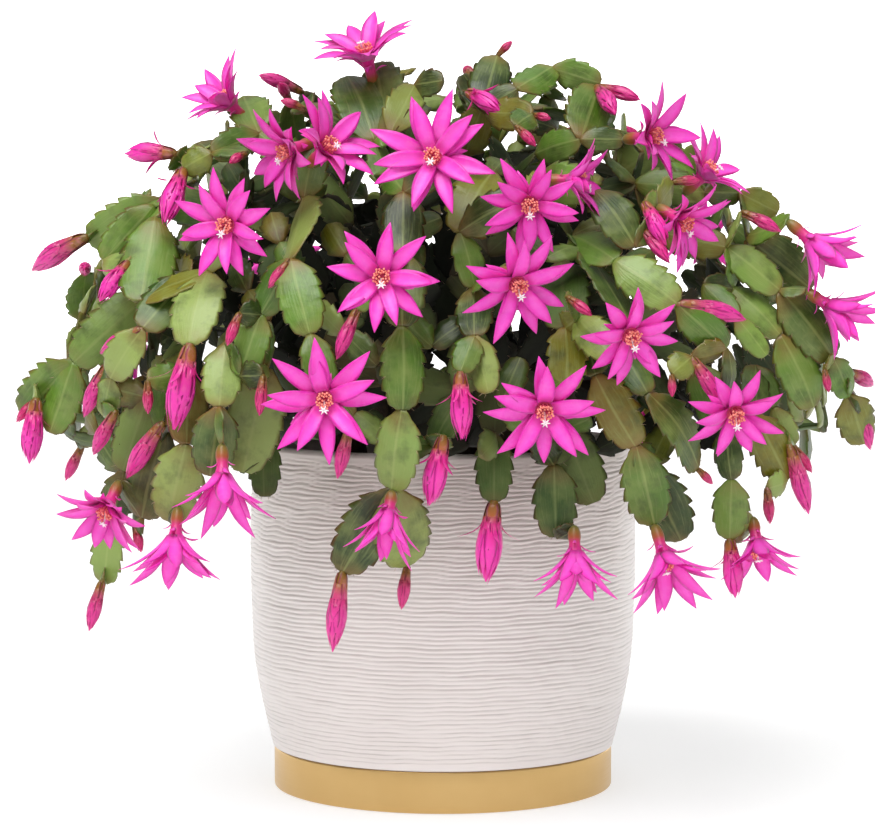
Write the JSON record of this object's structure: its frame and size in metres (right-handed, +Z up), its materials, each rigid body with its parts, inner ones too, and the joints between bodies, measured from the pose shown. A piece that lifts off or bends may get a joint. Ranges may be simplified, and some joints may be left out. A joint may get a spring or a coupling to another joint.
{
  "type": "potted easter cactus",
  "caption": "Potted plant with arching flat jointed stems, star-shaped pink flowers and buds, in a ribbed barrel-shaped ceramic planter standing in a low brass base.",
  "frame": {"origin": "centre of the brass base's flat underside, on the surface that the pot stands on", "axes": "+Z up along the planter's axis, +X to the right as seen from the front, front towards -Y"},
  "size_m": [0.4508, 0.4382, 0.4167],
  "materials": {
    "brass_base": "satin",
    "planter_ceramic": "satin",
    "potting_mix": "matte",
    "stem": "satin",
    "flower": "satin"
  },
  "bodies": {
    "root": {"base_dish": "brass_base", "planter": "planter_ceramic", "potting_mix": "potting_mix", "stem_01": "stem", "stem_02": "stem", "stem_03": "stem", "stem_04": "stem", "stem_05": "stem", "stem_06": "stem", "stem_07": "stem", "stem_08": "stem", "stem_09": "stem", "stem_10": "stem", "stem_11": "stem", "stem_12": "stem", "stem_13": "stem", "stem_14": "stem", "stem_15": "stem", "stem_16": "stem", "stem_17": "stem", "stem_18": "stem", "stem_19": "stem", "stem_20": "stem", "stem_21": "stem", "stem_22": "stem", "stem_23": "stem", "stem_24": "stem", "flower_01": "flower", "flower_02": "flower", "flower_03": "flower", "flower_04": "flower", "flower_05": "flower", "flower_06": "flower", "flower_07": "flower", "flower_08": "flower", "flower_09": "flower", "flower_10": "flower", "flower_11": "flower", "flower_12": "flower", "flower_13": "flower", "flower_14": "flower", "flower_15": "flower", "flower_16": "flower", "flower_17": "flower", "flower_18": "flower", "flower_19": "flower", "flower_20": "flower", "flower_21": "flower", "flower_22": "flower", "flower_23": "flower", "flower_24": "flower", "flower_25": "flower", "flower_26": "flower", "flower_27": "flower", "flower_28": "flower", "flower_29": "flower", "flower_30": "flower", "flower_31": "flower", "flower_32": "flower", "flower_33": "flower"}
  },
  "joints": []
}
